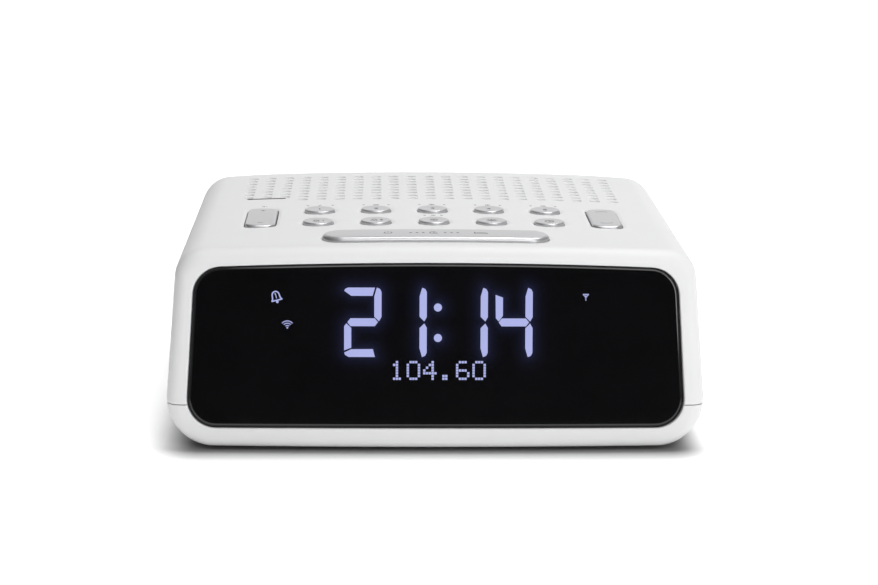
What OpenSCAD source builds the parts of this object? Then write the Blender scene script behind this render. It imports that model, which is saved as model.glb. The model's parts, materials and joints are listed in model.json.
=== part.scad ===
// Bedside clock radio: two-part case, bowed display window, top keys, speaker and boards.
// Millimetres. +Z up, +Y to the rear, origin on the table under the middle of the case.

/* [Case] */
// Width of the case at its widest level
body_w = 160.4; // [157:0.2:170]
// Depth of the case, front to rear
body_d = 136.8; // [134:0.2:146]
// Height of the top surface towards the rear, above the table
body_h = 61.6; // [61:0.2:66]
// Fall of the top surface from rear to front
top_fall = 0.8; // [0.4:0.1:1.2]
// Wall thickness of both case halves
wall = 2.4; // [2.2:0.1:2.6]
// Height of the joint between the case halves
seam_z = 14; // [13:0.5:15]
// Backward lean of the front face, in degrees
lean = 9.4; // [9:0.2:10]
// Inward draft of the side walls, in degrees
draft = 3.9; // [3:0.1:4.4]
// Clearance under the case, made by the rubber feet
foot_gap = 1.5; // [1.2:0.1:2]

/* [Edge radii] */
// Lower side edges, seen from the front
bottom_edge_r = 14; // [12:0.5:14.5]
// Upper side edges, seen from the front
top_edge_r = 9; // [8:0.5:10]
// Rear vertical corners, seen from above
rear_corner_r = 18; // [14:1:20]
// Rear upper edge, seen from the side
rear_top_r = 8; // [6:0.5:10]
// Rear lower edge, seen from the side
rear_bottom_r = 5; // [4.5:0.5:6]
// Front upper edge, seen from the side
front_top_r = 5; // [4.5:0.5:6]
// Front lower edge, seen from the side
front_bottom_r = 3; // [2.8:0.1:4]
// Front vertical edges, seen from above
front_side_r = 4; // [3:0.5:5]
// Radius of the gentle crown across the top
top_crown_r = 1600; // [1400:50:2400]
// Radius of the gentle bow across the front
front_bow_r = 1460; // [1300:20:2400]

/* [Window] */
// Lower edge of the window, measured up the leaning face
lens_low = 7.8; // [7.4:0.2:8.6]
// Upper edge of the window, measured up the leaning face
lens_high = 56.8; // [56:0.2:57]
// Half width of the window near its lower edge
lens_half_low = 73.9; // [71:0.1:74.4]
// Half width of the window near its upper edge
lens_half_high = 72.1; // [70:0.1:72.4]
// Corner radius of the window
lens_corner_r = 8.5; // [7:0.5:10]
// Depth of the window's face behind the rim around it
lens_recess = 1; // [0.6:0.1:1.1]
// Thickness of the window
lens_t = 2; // [1.6:0.1:2.2]

/* [Keys] */
// Pitch of the round keys, in both directions
key_pitch = 18; // [17.6:0.1:18.2]
// Radius of a round key
key_r = 4.7; // [4.3:0.1:4.9]
// Height of the round keys above the case
key_proud = 0.6; // [0.4:0.1:0.8]
// Travel of a pressed key
key_travel = 0.5; // [0.3:0.1:0.6]
// Length of the snooze bar
snooze_l = 68.4; // [62:0.2:69]
// Width of the snooze bar, front to rear
snooze_w = 12.8; // [11:0.2:13]
// Height of the snooze bar above the case
snooze_proud = 1.3; // [1:0.1:1.6]
// Length of each rocker key
rocker_l = 27.6; // [26:0.2:28]
// Width of each rocker key
rocker_w = 9.4; // [9:0.1:9.6]

/* [Grille] */
// Columns of dimples in the grille
grille_cols = 21; // [17:2:21]
// Rows of dimples in the grille
grille_rows = 9; // [7:1:9]
// Pitch of the dimple rows
grille_row_pitch = 4.74; // [4.5:0.02:4.8]
// Radius of a dimple where it meets the surface
dimple_r = 1.4; // [1.2:0.1:1.6]
// Radius of the sound holes in the dimples over the speaker
sound_hole_r = 0.7; // [0.5:0.1:0.8]

/* [Hidden] */
$fn = 64;
fine = 720;
far = 400;
// Flats stop this far inside the round they meet, so the two cross cleanly.
tuck = 0.02;

foot_r = 6;
foot_sink = 1;
foot_x = 56;
foot_y = 50;

half_d = body_d / 2;
low_x = body_w / 2 - bottom_edge_r;
low_z = foot_gap + bottom_edge_r - 0.06;
high_x = low_x + (bottom_edge_r - top_edge_r) / cos(draft)
    - (body_h - top_edge_r - 1.5 - low_z) * tan(draft);
top_tilt = atan(top_fall / (body_d - rear_top_r - front_top_r));

row_front_y = -22.3;
row_rear_y = row_front_y + key_pitch;
key_spots = [for (i = [-2 : 2]) i * key_pitch];
snooze_y = -44.8;
rocker_x = 3 * key_pitch;
rocker_y = (row_front_y + row_rear_y) / 2;
rocker_end_r = 8;
key_gap = 0.25;
key_skirt_r = key_r + 0.9;
snooze_edge = 1.2;
skirt_t = 1.2;

grille_pitch = key_pitch / 3;
grille_y = 14.5;
dimple_depth = 0.45;
slot_l = 13;
slot_w = 1.8;
slot_depth = 1.2;
slot_x = -9 * grille_pitch;
slot_y = grille_y + grille_row_pitch * 0.62;

board_t = 1.6;
key_board_z = 46;
key_board_top = key_board_z + board_t;
switch_w = 6;
switch_h = 3.4;
plunger_h = 0.9;
switch_top = key_board_top + switch_h + plunger_h;
stem_bottom = switch_top + key_travel + 0.1;
rocker_stem_y = 10.5;
rocker_stem_bottom = switch_top + 0.75;
snooze_stem_x = 18;
board_spots = [[-27, -33.4], [27, -33.4], [-27, 4.6], [27, 4.6]];
board_post_r = 2.6;

pin_r = 0.8;
pin_z = 55.6;
pin_l = 14.4;
ear_t = 1.6;
ear_x = 5.4;

main_board_z = 14;
main_board_top = main_board_z + board_t;
main_board_x = 56;
main_board_y0 = -30;
main_board_y1 = 64;
main_spots = [[-50, -24], [50, -24], [-50, 38], [50, 38]];

case_spots = [[-64, -36], [64, -36], [-64, 36], [64, 36]];
case_post_z = 26;
case_post_r = 4.2;
screw_r = 1.4;
screw_clear = 0.1;
head_r = 2.7;
head_h = 2;
small_screw_r = 1;
small_hole_r = small_screw_r + screw_clear;
label_w = 50;
label_d = 30;
label_sink = 0.3;

speaker_y = grille_y + (grille_rows - 1) * grille_row_pitch / 2;
speaker_hole_r = 23;
speaker_flange = 52;
speaker_top = 56.2;
speaker_spots = [for (x = [-1, 1], y = [-1, 1]) [x * 22.4, speaker_y + y * 22.4]];
sound_field_r = 22.5;
scrim_top = 58.3;
scrim_t = 0.4;
scrim_r = 24.6;

inlet_x = -38;
phones_x = -16;
socket_z = main_board_top + 5;
socket_face_y = half_d - wall - 0.15;
gland_x = 44;
gland_z = 32;
gland_neck_r = 2.5;

lcd_x = 56;
lcd_low = 13.5;
lcd_high = 50;
lcd_front = -4.6;
carrier_front = -4.35;
lcd_t = 2.2;
guide_t = 3.2;
display_boss_z = -9;
display_spots = [[-71.5, 25], [71.5, 25], [-70.5, 46], [70.5, 46]];
ear_root_x = 57;

// ---------- outlines and frames ----------

function outer_normal(a, b) =
    let(c = [b[0] - a[0], b[1] - a[1]], l = norm(c), u = c / l, k = (a[2] - b[2]) / l)
    u * k + [u[1], -u[0]] * sqrt(1 - k * k);

// Height of the top surface of the case over a point of the table.
function top_z(x, y) = body_h - x * x / (2 * top_crown_r)
    - top_fall * (half_d - rear_top_r - y) / (body_d - rear_top_r - front_top_r);

// Convex outline round a counter-clockwise list of circles [x, y, r], with true arcs.
module circle_hull(c) {
    n = len(c);
    polygon([for (i = [0 : n - 1], side = [0, 1])
        let(a = c[i], b = c[(i + 1) % n], w = outer_normal(a, b), p = side == 0 ? a : b)
        [p[0], p[1]] + w * (p[2] - tuck)]);
    for (q = c) translate([q[0], q[1]]) circle(r = q[2]);
}

// Symmetric outline with round corners and a crowned top; inset moves it inwards.
module crowned_outline(x_low, z_low, r_low, x_high, r_high, top, inset) {
    z_high = top - top_crown_r + sqrt(pow(top_crown_r - r_high, 2) - x_high * x_high);
    x_touch = x_high * top_crown_r / (top_crown_r - r_high);
    circle_hull([[-x_high, z_high, r_high - inset], [-x_low, z_low, r_low - inset],
        [x_low, z_low, r_low - inset], [x_high, z_high, r_high - inset]]);
    intersection() {
        translate([0, top - top_crown_r]) circle(r = top_crown_r - inset - tuck, $fn = fine);
        translate([-x_touch, z_high]) square([2 * x_touch, r_high + 5]);
    }
}

// Leaning frame of the front face: x across, y up the face, z out of the face.
module on_front() {
    face_y = -half_d + front_bottom_r - front_bottom_r / cos(lean)
        - (foot_gap + front_bottom_r) * tan(lean);
    translate([0, face_y, 0]) rotate([90 - lean, 0, 0]) children();
}

module slab_on_front(depth, t) { on_front() translate([0, 0, depth - t]) linear_extrude(t) children(); }

module rod_x(r, l) { rotate([0, 90, 0]) cylinder(h = l, r = r, center = true); }

module block(x, y, z, w, d, h) { translate([x - w / 2, y - d / 2, z]) cube([w, d, h]); }

module at(spots) { for (p = spots) translate([p[0], p[1], 0]) children(); }

// ---------- case body ----------

module front_prism(inset) {
    translate([0, half_d - rear_top_r, body_h]) rotate([top_tilt, 0, 0])
        translate([0, -half_d + rear_top_r, -body_h]) rotate([90, 0, 0])
        translate([0, 0, -half_d - 5]) linear_extrude(body_d + 10)
        crowned_outline(low_x, low_z, bottom_edge_r, high_x, top_edge_r, body_h, inset);
}

module side_prism(inset) {
    front_top_z = body_h - top_fall - front_top_r;
    front_top_y = -half_d + front_bottom_r + (front_top_r - front_bottom_r) / cos(lean)
        + (front_top_z - foot_gap - front_bottom_r) * tan(lean);
    rotate([90, 0, 90]) linear_extrude(2 * far, center = true) circle_hull([
        [-half_d + front_bottom_r, foot_gap + front_bottom_r, front_bottom_r - inset],
        [half_d - rear_bottom_r, foot_gap + rear_bottom_r, rear_bottom_r - inset],
        [half_d - rear_top_r, body_h - rear_top_r + 0.03, rear_top_r - inset],
        [front_top_y, front_top_z + 0.03, front_top_r - inset]]);
}

module plan_prism(inset) {
    x = body_w / 2 + 0.05 - rear_corner_r;
    y = half_d + 0.05 - rear_corner_r;
    r = rear_corner_r - inset;
    linear_extrude(body_h + 10) circle_hull([
        [-x, -half_d - 20, r], [x, -half_d - 20, r], [x, y, r], [-x, y, r]]);
}

// Bowed front surface, extruded up the leaning face.
module bow_prism(inset) {
    on_front() translate([0, 120, -front_bow_r]) rotate([90, 0, 0])
        linear_extrude(200) intersection() {
            circle(r = front_bow_r - inset - 2 * tuck, $fn = fine);
            translate([-far / 2, front_bow_r - far]) square([far, far + 20]);
        }
}

// Rounds the front vertical edge on one side (s is 1 or -1), following the draft.
module edge_prism(s, inset) {
    corner_x = body_w / 2 - front_side_r;
    reach = far / 2;
    slope = corner_x / front_bow_r;
    corner_z = 0.03 - corner_x * corner_x / (2 * front_bow_r) - front_side_r;
    r = front_side_r - inset;
    mirror([s < 0 ? 1 : 0, 0, 0]) on_front()
        translate([corner_x + 0.03, low_z / cos(lean), 0])
        rotate([0, 0, atan(tan(draft) * cos(lean))]) rotate([90, 0, 0])
        linear_extrude(reach, center = true)
        circle_hull([[2, corner_z - body_d - 15, r], [0, corner_z, r],
            [-reach, corner_z + slope * reach, r], [-reach, corner_z - body_d - 15, r]]);
}

module body_solid(inset) {
    intersection() {
        front_prism(inset);
        side_prism(inset);
        plan_prism(inset);
        bow_prism(inset);
        edge_prism(1, inset);
        edge_prism(-1, inset);
    }
}

module above(z) { translate([-far / 2, -far / 2, z]) cube([far, far, far]); }

module window_outline(grow) {
    crowned_outline(lens_half_low - lens_corner_r, lens_low + lens_corner_r, lens_corner_r,
        lens_half_high - lens_corner_r, lens_corner_r, lens_high, -grow);
}

// Ring inside the front wall that carries the window.
module front_rim() {
    intersection() {
        body_solid(wall / 2);
        slab_on_front(5, 11) window_outline(4);
    }
}

module window_opening() {
    slab_on_front(20, 25.4) window_outline(0.15);
    slab_on_front(20, 40) window_outline(-2.2);
}

module shell_with_rim() {
    difference() {
        union() {
            difference() {
                body_solid(0);
                body_solid(wall);
            }
            front_rim();
        }
        window_opening();
    }
}

// Tongue of the lower half that keeps the joint in line, clear of the window.
module joint_tongue(slack) {
    intersection() {
        difference() {
            body_solid(wall / 2 + 0.1 - slack);
            body_solid(wall);
        }
        translate([-far / 2, -half_d + 20, seam_z - 1]) cube([far, far, 2.5 + slack]);
    }
}

// ---------- case halves ----------

module pill(l, w) {
    square([l - w, w - 2 * tuck], center = true);
    for (s = [-1, 1]) translate([s * (l - w) / 2, 0]) circle(d = w);
}

// Outline of a rocker key: straight sides and bowed ends.
module rocker_outline(grow) {
    half_w = rocker_w / 2 + grow;
    intersection() {
        square([2 * half_w, rocker_l + 2], center = true);
        union() {
            for (s = [-1, 1]) translate([0, s * (rocker_l / 2 - rocker_end_r)])
                circle(r = rocker_end_r + grow);
            square([2 * half_w + 1, rocker_l - rocker_end_r], center = true);
        }
    }
}

module key_openings() {
    for (x = key_spots, y = [row_front_y, row_rear_y]) translate([x, y, body_h - 10])
        cylinder(h = 20, r = key_r + key_gap);
    translate([0, snooze_y, body_h - 12]) linear_extrude(20)
        pill(snooze_l + 2 * key_gap, snooze_w + 2 * key_gap);
    for (s = [-1, 1]) translate([s * rocker_x, rocker_y, body_h - 12]) linear_extrude(20)
        rocker_outline(0.4);
}

module grille_cuts() {
    half_cols = (grille_cols - 1) / 2;
    for (i = [-half_cols : half_cols], j = [0 : grille_rows - 1]) {
        x = i * grille_pitch;
        y = grille_y + j * grille_row_pitch;
        over_slot = j == 0 && abs(x - slot_x) < slot_l / 2;
        if (!over_slot) translate([x, y, top_z(x, y) - dimple_depth]) cylinder(h = 2, r = dimple_r);
        if (norm([x, y - speaker_y]) < sound_field_r) translate([x, y, body_h - 8])
            cylinder(h = 12, r = sound_hole_r);
    }
    translate([slot_x, slot_y, top_z(slot_x, slot_y) - slot_depth]) linear_extrude(5) pill(slot_l, slot_w);
}

module top_posts() {
    intersection() {
        body_solid(wall / 2);
        difference() {
            union() {
                at(case_spots) translate([0, 0, case_post_z + 0.1]) cylinder(h = 40, r = case_post_r - 0.6);
                at(board_spots) translate([0, 0, key_board_top]) cylinder(h = 20, r = board_post_r);
                at(speaker_spots) translate([0, 0, speaker_top]) cylinder(h = 10, r = 2.4);
                for (s = [-1, 1], e = [-1, 1])
                    block(s * rocker_x + e * (ear_x + ear_t / 2), rocker_y, pin_z - 2.4, ear_t, 6, 10);
            }
            at(case_spots) translate([0, 0, case_post_z - 1]) cylinder(h = 16, r = screw_r + screw_clear);
            at(board_spots) translate([0, 0, key_board_top - 1]) cylinder(h = 8, r = small_hole_r);
            at(speaker_spots) translate([0, 0, speaker_top - 1]) cylinder(h = 3.2, r = small_hole_r);
            for (s = [-1, 1]) translate([s * rocker_x, rocker_y, pin_z]) rod_x(pin_r, 30);
        }
    }
    difference() {
        intersection() {
            body_solid(wall / 2);
            on_front() at(display_spots) translate([0, 0, display_boss_z]) cylinder(h = 4.1, r = 2.8);
        }
        on_front() at(display_spots) translate([0, 0, display_boss_z - 1])
            cylinder(h = 4.5, r = small_hole_r);
    }
}

module rear_holes() {
    translate([inlet_x, half_d + 5, socket_z]) rotate([90, 0, 0]) cylinder(h = 10, r = 4.2);
    translate([phones_x, half_d + 5, socket_z]) rotate([90, 0, 0]) cylinder(h = 10, r = 3.6);
    translate([gland_x, half_d + 5, gland_z]) rotate([90, 0, 0]) cylinder(h = 10, r = gland_neck_r);
}

module top_housing() color("white") {
    difference() {
        union() {
            intersection() {
                shell_with_rim();
                above(seam_z + 0.15);
            }
            top_posts();
        }
        key_openings();
        grille_cuts();
        rear_holes();
        joint_tongue(0.1);
    }
}

module bottom_posts() {
    intersection() {
        body_solid(wall / 2);
        union() {
            at(case_spots) cylinder(h = case_post_z, r = case_post_r);
            at(main_spots) cylinder(h = main_board_z, r = 3.2);
        }
    }
}

module bottom_housing() color("white") {
    difference() {
        union() {
            difference() {
                shell_with_rim();
                above(seam_z - 0.15);
            }
            bottom_posts();
            joint_tongue(0);
        }
        at(case_spots) translate([0, 0, -1]) cylinder(h = 13, r = head_r + 0.4);
        at(case_spots) cylinder(h = 40, r = screw_r + screw_clear);
        at(main_spots) translate([0, 0, main_board_z - 8]) cylinder(h = 12, r = small_hole_r);
        for (x = [-1, 1], y = [-1, 1]) translate([x * foot_x, y * foot_y, -1])
            cylinder(h = foot_gap + foot_sink + 1, r = foot_r);
        block(0, 0, foot_gap - 1, label_w + 0.4, label_d + 0.4, 1 + label_sink);
    }
}

// ---------- display ----------

module display_window() color([0.02, 0.02, 0.025]) {
    intersection() {
        slab_on_front(10, 30) window_outline(0);
        bow_prism(lens_recess);
        difference() {
            slab_on_front(10, 30) window_outline(5);
            bow_prism(lens_recess + lens_t);
        }
    }
}

module lcd_outline(margin) {
    translate([-lcd_x + margin, lcd_low + margin])
        square([2 * (lcd_x - margin), lcd_high - lcd_low - 2 * margin]);
}

module lcd_panel() color([0.05, 0.05, 0.07]) slab_on_front(lcd_front, lcd_t) lcd_outline(0);

module backlight_guide() color([0.92, 0.94, 1])
    slab_on_front(lcd_front - lcd_t - 0.05, guide_t) lcd_outline(1.2);

// Tray that holds the panel and its guide, with a lip in front and four ears.
module display_carrier() color([0.93, 0.93, 0.92]) {
    difference() {
        union() {
            slab_on_front(carrier_front, 7.85) lcd_outline(-2.4);
            slab_on_front(display_boss_z, 1.6) difference() {
                for (p = display_spots) {
                    translate(p) circle(r = 3.4);
                    translate([p[0] < 0 ? p[0] : ear_root_x, p[1] - 3.4])
                        square([abs(p[0]) - ear_root_x, 6.8]);
                }
                for (p = display_spots) translate(p) circle(r = small_hole_r);
            }
        }
        slab_on_front(-4, 1) lcd_outline(1.6);
        slab_on_front(lcd_front + 0.02, 12) lcd_outline(-0.15);
        slab_on_front(-10.6, 3) lcd_outline(-1.2);
    }
}

module display_board() color([0.05, 0.35, 0.2]) slab_on_front(-10.65, 1.2) lcd_outline(-1.1);

module display_screws() color([0.75, 0.76, 0.78])
    on_front() at(display_spots) {
        translate([0, 0, display_boss_z - 1.6 - 1.4]) cylinder(h = 1.4, r = 2.2);
        translate([0, 0, display_boss_z - 1.6 - 0.5]) cylinder(h = 5.1, r = small_screw_r);
    }

// ---------- keys ----------

module key_board() color([0.05, 0.35, 0.2]) {
    difference() {
        block(0, (-47.6 + 8) / 2, key_board_z, 119, 55.6, board_t);
        at(board_spots) cylinder(h = 80, r = small_hole_r);
        at(case_spots) cylinder(h = 80, r = case_post_r + 0.2);
    }
}

module key_board_screws() color([0.75, 0.76, 0.78])
    at(board_spots) {
        translate([0, 0, key_board_z - 1.4]) cylinder(h = 1.4, r = 2.2);
        translate([0, 0, key_board_z - 0.5]) cylinder(h = 7.5, r = small_screw_r);
    }

module tact_switch(x, y) {
    block(x, y, key_board_top, switch_w, switch_w, switch_h);
    translate([x, y, key_board_top + switch_h - 0.1]) cylinder(h = plunger_h + 0.1, r = 1.7);
}

module tact_switches() color([0.12, 0.12, 0.13]) {
    for (x = key_spots, y = [row_front_y, row_rear_y]) tact_switch(x, y);
    for (s = [-1, 1]) tact_switch(s * snooze_stem_x, snooze_y + 0.6);
    for (s = [-1, 1], e = [-1, 1]) tact_switch(s * rocker_x, rocker_y + e * rocker_stem_y);
}

// Round key: rounded cap, skirt that stops it under the case, and stem down to its switch.
module round_key(x, y) color([0.78, 0.79, 0.8]) {
    top = top_z(x, y) + key_proud;
    skirt_top = top_z(abs(x) + key_skirt_r, y - key_skirt_r) - wall - 0.35;
    edge = 0.35;
    translate([x, y, 0]) {
        rotate_extrude() {
            translate([0, skirt_top - 0.5]) square([key_r, top - edge - skirt_top + 0.5]);
            translate([0, top - edge - 0.01]) square([key_r - edge, edge + 0.01]);
            intersection() {
                translate([key_r - edge, top - edge]) circle(r = edge);
                translate([key_r - edge - 0.01, top - edge - 0.01]) square([edge + 1, edge + 1]);
            }
        }
        translate([0, 0, skirt_top - skirt_t]) cylinder(h = skirt_t, r = key_skirt_r);
        translate([0, 0, stem_bottom]) cylinder(h = skirt_top - skirt_t - stem_bottom + 0.2, r = 1.6);
    }
}

module preset_key_1() { round_key(key_spots[0], row_rear_y); }
module preset_key_2() { round_key(key_spots[1], row_rear_y); }
module preset_key_3() { round_key(key_spots[2], row_rear_y); }
module preset_key_4() { round_key(key_spots[3], row_rear_y); }
module preset_key_5() { round_key(key_spots[4], row_rear_y); }
module alarm_key_1() { round_key(key_spots[0], row_front_y); }
module alarm_key_2() { round_key(key_spots[1], row_front_y); }
module select_key() { round_key(key_spots[2], row_front_y); }
module brightness_key() { round_key(key_spots[3], row_front_y); }
module clock_key() { round_key(key_spots[4], row_front_y); }

// Snooze bar: long cap in steps towards its rounded edge, skirt and two stems.
module snooze_bar() color([0.78, 0.79, 0.8]) {
    top = top_z(0, snooze_y) + snooze_proud;
    skirt_top = top_z(snooze_l / 2, snooze_y - 8) - wall - 0.35;
    steps = 6;
    translate([0, snooze_y, 0]) {
        translate([0, 0, skirt_top - 0.5]) linear_extrude(top - snooze_edge - skirt_top + 0.5)
            pill(snooze_l, snooze_w);
        for (i = [1 : steps]) {
            a = 90 * i / steps;
            inset = snooze_edge * (1 - cos(a - 45 / steps));
            translate([0, 0, top - snooze_edge - 0.1]) linear_extrude(snooze_edge * sin(a) + 0.1)
                pill(snooze_l - 2 * inset, snooze_w - 2 * inset);
        }
        translate([0, 0, skirt_top - skirt_t]) linear_extrude(skirt_t)
            pill(snooze_l + 1.8, snooze_w + 1.8);
        for (s = [-1, 1]) translate([s * snooze_stem_x, 0.6, stem_bottom])
            cylinder(h = skirt_top - skirt_t - stem_bottom + 0.2, r = 1.6);
    }
}

// Rocker key: bowed cap, hub on its pin and two stems down to the switches.
module rocker(s) color([0.78, 0.79, 0.8]) {
    top = top_z(rocker_x, rocker_y) + 0.55;
    translate([s * rocker_x, rocker_y, 0]) difference() {
        union() {
            translate([0, 0, top - 3]) linear_extrude(2.65) rocker_outline(0);
            translate([0, 0, top - 0.4]) linear_extrude(0.4) rocker_outline(-0.35);
            block(0, 0, pin_z, 6, 4.4, top - pin_z - 2.8);
            translate([0, 0, pin_z]) rod_x(2.2, 6);
            for (e = [-1, 1]) translate([0, e * rocker_stem_y, rocker_stem_bottom])
                cylinder(h = top - 2.8 - rocker_stem_bottom, r = 1.6);
        }
        translate([0, 0, pin_z]) rod_x(pin_r + 0.05, 20);
    }
}

module volume_rocker() { rocker(-1); }
module tuning_rocker() { rocker(1); }
module rocker_pin(s) color([0.75, 0.76, 0.78]) translate([s * rocker_x, rocker_y, pin_z]) rod_x(pin_r, pin_l);
module volume_rocker_pin() { rocker_pin(-1); }
module tuning_rocker_pin() { rocker_pin(1); }

// ---------- speaker ----------

module ring_profile(points) { translate([0, speaker_y, 0]) rotate_extrude() polygon(points); }

module speaker_basket() color([0.2, 0.2, 0.21]) {
    z = speaker_top;
    difference() {
        union() {
            block(0, speaker_y, z - 1.4, speaker_flange, speaker_flange, 1.4);
            ring_profile([[8, z - 16], [14, z - 16], [speaker_hole_r + 0.8, z - 1.2],
                [speaker_hole_r + 0.8, z - 1], [speaker_hole_r - 0.6, z - 1], [speaker_hole_r - 0.6, z - 1.6],
                [12.8, z - 14.8], [8, z - 14.8]]);
        }
        translate([0, speaker_y, z - 3]) cylinder(h = 5, r = speaker_hole_r - 0.6);
        at(speaker_spots) translate([0, 0, z - 3]) cylinder(h = 5, r = small_hole_r);
        for (a = [45 : 90 : 315]) translate([0, speaker_y, z - 8]) rotate([0, 0, a])
            translate([18, 0, 0]) rotate([90, 0, 90]) cylinder(h = 12, r = 3.6, center = true);
    }
}

module speaker_magnet() color([0.35, 0.35, 0.36])
    ring_profile([[0, speaker_top - 25], [15, speaker_top - 25], [15, speaker_top - 16.05],
        [0, speaker_top - 16.05]]);

module speaker_cone() color([0.13, 0.13, 0.14])
    ring_profile([[6, speaker_top - 13.5], [6.6, speaker_top - 13.5], [18, speaker_top - 2.6],
        [18, speaker_top - 2], [17.4, speaker_top - 2], [6, speaker_top - 12.9]]);

module speaker_surround() color([0.06, 0.06, 0.06])
    ring_profile([[18.02, speaker_top - 2.4], [18.9, speaker_top - 1], [20.2, speaker_top - 0.5],
        [21.5, speaker_top - 1], [22.36, speaker_top - 2.4], [22.36, speaker_top - 1.8],
        [21.7, speaker_top - 0.4], [20.2, speaker_top + 0.1], [18.7, speaker_top - 0.4],
        [18.02, speaker_top - 1.8]]);

module speaker_dust_cap() color([0.13, 0.13, 0.14])
    intersection() {
        translate([0, speaker_y, speaker_top - 18.4]) difference() {
            sphere(r = 8.2);
            sphere(r = 7.8);
        }
        translate([0, speaker_y, speaker_top - 12.85]) cylinder(h = 10, r = 5.95);
    }

module speaker_gasket() color([0.1, 0.1, 0.1])
    ring_profile([[22.8, speaker_top + 0.02], [24.6, speaker_top + 0.02],
        [24.6, scrim_top - scrim_t - 0.02], [22.8, scrim_top - scrim_t - 0.02]]);

module grille_scrim() color([0.12, 0.12, 0.12])
    translate([0, speaker_y, scrim_top - scrim_t]) cylinder(h = scrim_t, r = scrim_r);

module speaker_screws() color([0.75, 0.76, 0.78])
    at(speaker_spots) {
        translate([0, 0, speaker_top - 2.8]) cylinder(h = 1.4, r = 2.1);
        translate([0, 0, speaker_top - 2]) cylinder(h = 3.8, r = small_screw_r);
    }

// ---------- main board ----------

module main_board() color([0.05, 0.35, 0.2]) {
    difference() {
        translate([-main_board_x, main_board_y0, main_board_z])
            cube([2 * main_board_x, main_board_y1 - main_board_y0, board_t]);
        at(main_spots) cylinder(h = 80, r = small_hole_r);
        for (s = [-1, 1]) translate([s * 60, 62, 0]) cylinder(h = 80, r = 11);
    }
}

module main_board_screws() color([0.75, 0.76, 0.78])
    at(main_spots) {
        translate([0, 0, main_board_top]) cylinder(h = 1.4, r = 2.2);
        translate([0, 0, main_board_top - 6.5]) cylinder(h = 7, r = small_screw_r);
    }

// Barrel socket, open to the rear; its sprung contacts are left out.
module power_inlet() color([0.1, 0.1, 0.1]) {
    difference() {
        union() {
            block(inlet_x, socket_face_y - 7, main_board_top, 9, 14, 10);
            translate([inlet_x, socket_face_y + 1.4, socket_z]) rotate([90, 0, 0]) cylinder(h = 4, r = 4);
        }
        translate([inlet_x, socket_face_y + 2, socket_z]) rotate([90, 0, 0]) cylinder(h = 11.5, r = 2.75);
    }
}

module headphone_socket() color([0.1, 0.1, 0.1]) {
    difference() {
        union() {
            block(phones_x, socket_face_y - 8, main_board_top, 8, 13, 8.6);
            translate([phones_x, socket_face_y + 1.4, socket_z]) rotate([90, 0, 0]) cylinder(h = 4, r = 3.4);
        }
        translate([phones_x, socket_face_y + 2, socket_z]) rotate([90, 0, 0]) cylinder(h = 16, r = 1.8);
    }
}

// Rubber gland where the wire aerial leaves the case.
module aerial_gland() color([0.08, 0.08, 0.08])
    translate([gland_x, half_d - wall, gland_z]) rotate([-90, 0, 0]) rotate_extrude()
        polygon([[0.8, -3], [4, -3], [4, -0.05], [gland_neck_r - 0.02, -0.05],
            [gland_neck_r - 0.02, wall - 0.6], [0.8, wall - 0.6]]);

module tuner_shield() color([0.72, 0.73, 0.74]) {
    block(30, 46, main_board_top, 30, 22, 4.6);
    block(30, 46, main_board_top + 4.55, 28, 20, 0.4);
}

module processor_chips() color([0.07, 0.07, 0.08]) {
    block(0, 2, main_board_top, 14, 14, 1.6);
    block(-22, 8, main_board_top, 8, 6, 1.6);
    block(-34, 30, main_board_top, 10, 8, 1.8);
    block(24, 4, main_board_top, 7, 10, 1.6);
}

module filter_capacitors() color([0.12, 0.13, 0.2])
    for (p = [[-46, 20, 4, 9], [-46, 4, 4, 9], [-34, 12, 3, 7], [44, 10, 4, 9], [44, -4, 3, 7]])
        translate([p[0], p[1], main_board_top]) cylinder(h = p[3], r = p[2]);

module board_connectors() color([0.93, 0.91, 0.85]) {
    block(0, -24, main_board_top, 20, 5, 4);
    block(-36, -24, main_board_top, 16, 5, 4);
    block(36, -24, main_board_top, 6, 5, 5);
    block(-36, 3, key_board_z - 4, 13, 5, 4);
}

// Flat ribbon of thickness t along a list of [y, z] points.
module ribbon(x, w, t, path) {
    translate([x - w / 2, 0, 0]) rotate([90, 0, 90]) linear_extrude(w)
        for (i = [0 : len(path) - 2]) {
            a = path[i];
            b = path[i + 1];
            u = (b - a) / norm(b - a);
            n = [-u[1], u[0]] * t / 2;
            polygon([a - n, b - n, b + n, a + n]);
            translate(b) circle(r = t / 2 + 0.005);
        }
}

module display_ribbon() color([0.8, 0.8, 0.78])
    ribbon(0, 16, 0.5, [[-51.8, 30], [-50, 29.2], [-42, 26], [-24, 24], [-24, main_board_top + 4.3]]);

module key_ribbon() color([0.8, 0.8, 0.78])
    ribbon(-36, 12, 0.5, [[3, key_board_z - 4.35], [3, 30], [-14, 26], [-24, 24],
        [-24, main_board_top + 4.3]]);

module wire(r, path) {
    for (i = [0 : len(path) - 2]) {
        a = path[i];
        d = path[i + 1] - a;
        l = norm(d);
        translate(a) rotate([0, acos(d[2] / l), atan2(d[1], d[0])]) cylinder(h = l, r = r);
        translate(path[i + 1]) sphere(r = r + 0.01);
    }
}

module speaker_leads() color([0.6, 0.08, 0.06])
    for (s = [-1.8, 1.8]) wire(0.6, [[10 + s, speaker_y - 20, 43], [22 + s, speaker_y - 26, 40],
        [36 + s, -16, 34], [36 + s, -24, 28], [36 + s, -24, main_board_top + 5.7]]);

// ---------- feet, fasteners, label ----------

module foot(x, y) color([0.1, 0.1, 0.1]) translate([x, y, 0]) rotate_extrude()
    polygon([[0, 0], [foot_r - 0.6, 0], [foot_r - 0.1, 0.5], [foot_r - 0.1, foot_gap + foot_sink - 0.02],
        [0, foot_gap + foot_sink - 0.02]]);

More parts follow.
